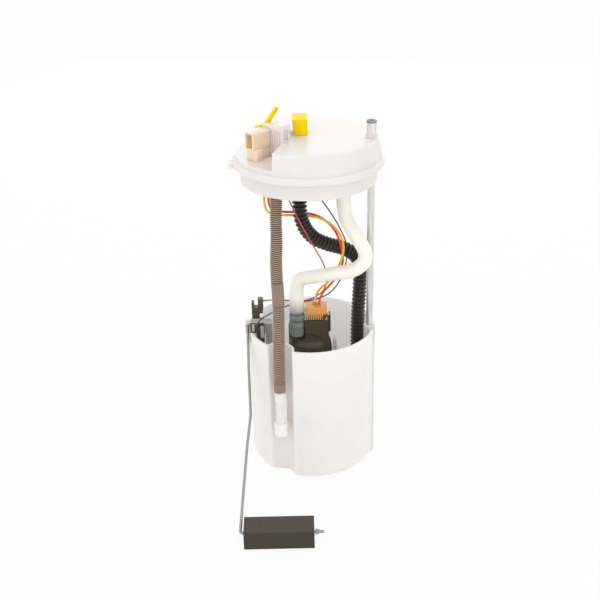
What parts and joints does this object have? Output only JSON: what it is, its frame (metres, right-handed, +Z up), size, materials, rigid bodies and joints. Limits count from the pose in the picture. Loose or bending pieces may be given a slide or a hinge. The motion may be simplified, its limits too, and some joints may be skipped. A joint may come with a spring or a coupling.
{
  "type": "fuel pump module",
  "caption": "In-tank fuel pump module: a fuel pot with pump, jet pump and level float, under a sprung flange on two guide rods with hoses, wires and a capped outlet.",
  "frame": {"origin": "middle of the pot's foot, on the tank floor", "axes": "+Z up to the flange, -Y to the side where the float hangs"},
  "size_m": [0.135, 0.2195, 0.3384],
  "materials": {
    "white_pom": "satin",
    "beige_plastic": "satin",
    "peach_plastic": "satin",
    "orange_plastic": "satin",
    "yellow_plastic": "satin",
    "black_plastic": "satin",
    "grey_plastic": "satin",
    "steel": "brushed",
    "brass": "satin",
    "copper": "satin",
    "bush_plastic": "satin",
    "ferrite": "matt",
    "carbon": "matt",
    "ceramic": "matt",
    "rubber": "matt",
    "filter_cloth": "matt",
    "float_foam": "matt",
    "brown_tube": "satin",
    "black_tube": "satin",
    "cream_tube": "satin",
    "yellow_wire": "gloss",
    "red_wire": "gloss",
    "magenta_wire": "gloss",
    "grey_wire": "gloss"
  },
  "bodies": {
    "reservoir": {"reservoir": "white_pom", "jet_pump": "white_pom", "outlet_barb": "white_pom", "pump_holder": "beige_plastic", "pump_inlet": "beige_plastic", "turbine_plate": "beige_plastic", "pump_plug": "orange_plastic", "pump_head": "black_plastic", "sender_housing": "black_plastic", "brush_holder": "black_plastic", "sender_bracket": "grey_plastic", "pump_case": "steel", "spring_right": "steel", "spring_left": "steel", "rod_bush_right": "bush_plastic", "rod_bush_left": "bush_plastic", "magnets": "ferrite", "brushes": "carbon", "resistor_card": "ceramic", "pump_damper": "rubber", "foot_valve": "rubber", "strainer": "filter_cloth", "return_tube": "brown_tube", "black_hose": "black_tube", "feed_hose": "cream_tube", "yellow_wire": "yellow_wire", "red_wire": "red_wire", "thin_red_wire": "magenta_wire", "thin_dark_wire": "grey_wire"},
    "flange": {"flange": "white_pom", "electrical_socket": "peach_plastic", "socket_terminals": "brass", "lever_pin": "steel", "wire_block": "beige_plastic", "guide_rod_right": "steel", "guide_rod_left": "steel", "rod_ferrule": "steel", "rod_circlips": "steel"},
    "outlet_cap": {"outlet_cap": "yellow_plastic"},
    "lock_lever": {"lock_lever": "yellow_plastic"},
    "rotor": {"impeller": "black_plastic", "rotor_shaft": "steel", "armature": "ferrite", "commutator": "copper"},
    "check_valve": {"check_valve": "rubber"},
    "float_arm": {"float_arm": "steel", "wiper_hub": "grey_plastic", "wiper": "brass", "float_clip": "steel"},
    "float": {"float": "float_foam"}
  },
  "joints": [
    {"name": "flange_slide", "type": "slide", "parent": "reservoir", "child": "flange", "axis": [0, 0, 1], "range_m": [-0.058, 0], "stiffness_N_per_m": 300, "springref_m": 0.04, "deforming": ["spring_right", "spring_left", "return_tube", "black_hose", "feed_hose", "yellow_wire", "red_wire", "thin_red_wire", "thin_dark_wire"]},
    {"name": "float_arm_swing", "type": "hinge", "parent": "reservoir", "child": "float_arm", "pos_m": [-0.055, 0, 0.136], "axis": [-1, 0, 0], "range_deg": [0, 80]},
    {"name": "float_roll", "type": "hinge", "parent": "float_arm", "child": "float", "pos_m": [-0.032, -0.143, 0.0096], "axis": [1, 0, 0], "continuous": true},
    {"name": "pump_spin", "type": "hinge", "parent": "reservoir", "child": "rotor", "pos_m": [-0.0015, -0.002, 0.07], "axis": [0, 0, 1], "continuous": true},
    {"name": "check_valve_lift", "type": "slide", "parent": "reservoir", "child": "check_valve", "axis": [0, 0, 1], "range_m": [0, 0.002], "stiffness_N_per_m": 40, "springref_m": -0.002},
    {"name": "lock_lever_swing", "type": "hinge", "parent": "flange", "child": "lock_lever", "pos_m": [-0.03837, -0.00271, 0.3218], "axis": [0.7071, -0.7071, 0], "range_deg": [0, 60]},
    {"name": "outlet_cap_pull", "type": "slide", "parent": "flange", "child": "outlet_cap", "axis": [0, 0, 1], "range_m": [0, 0.025]}
  ]
}
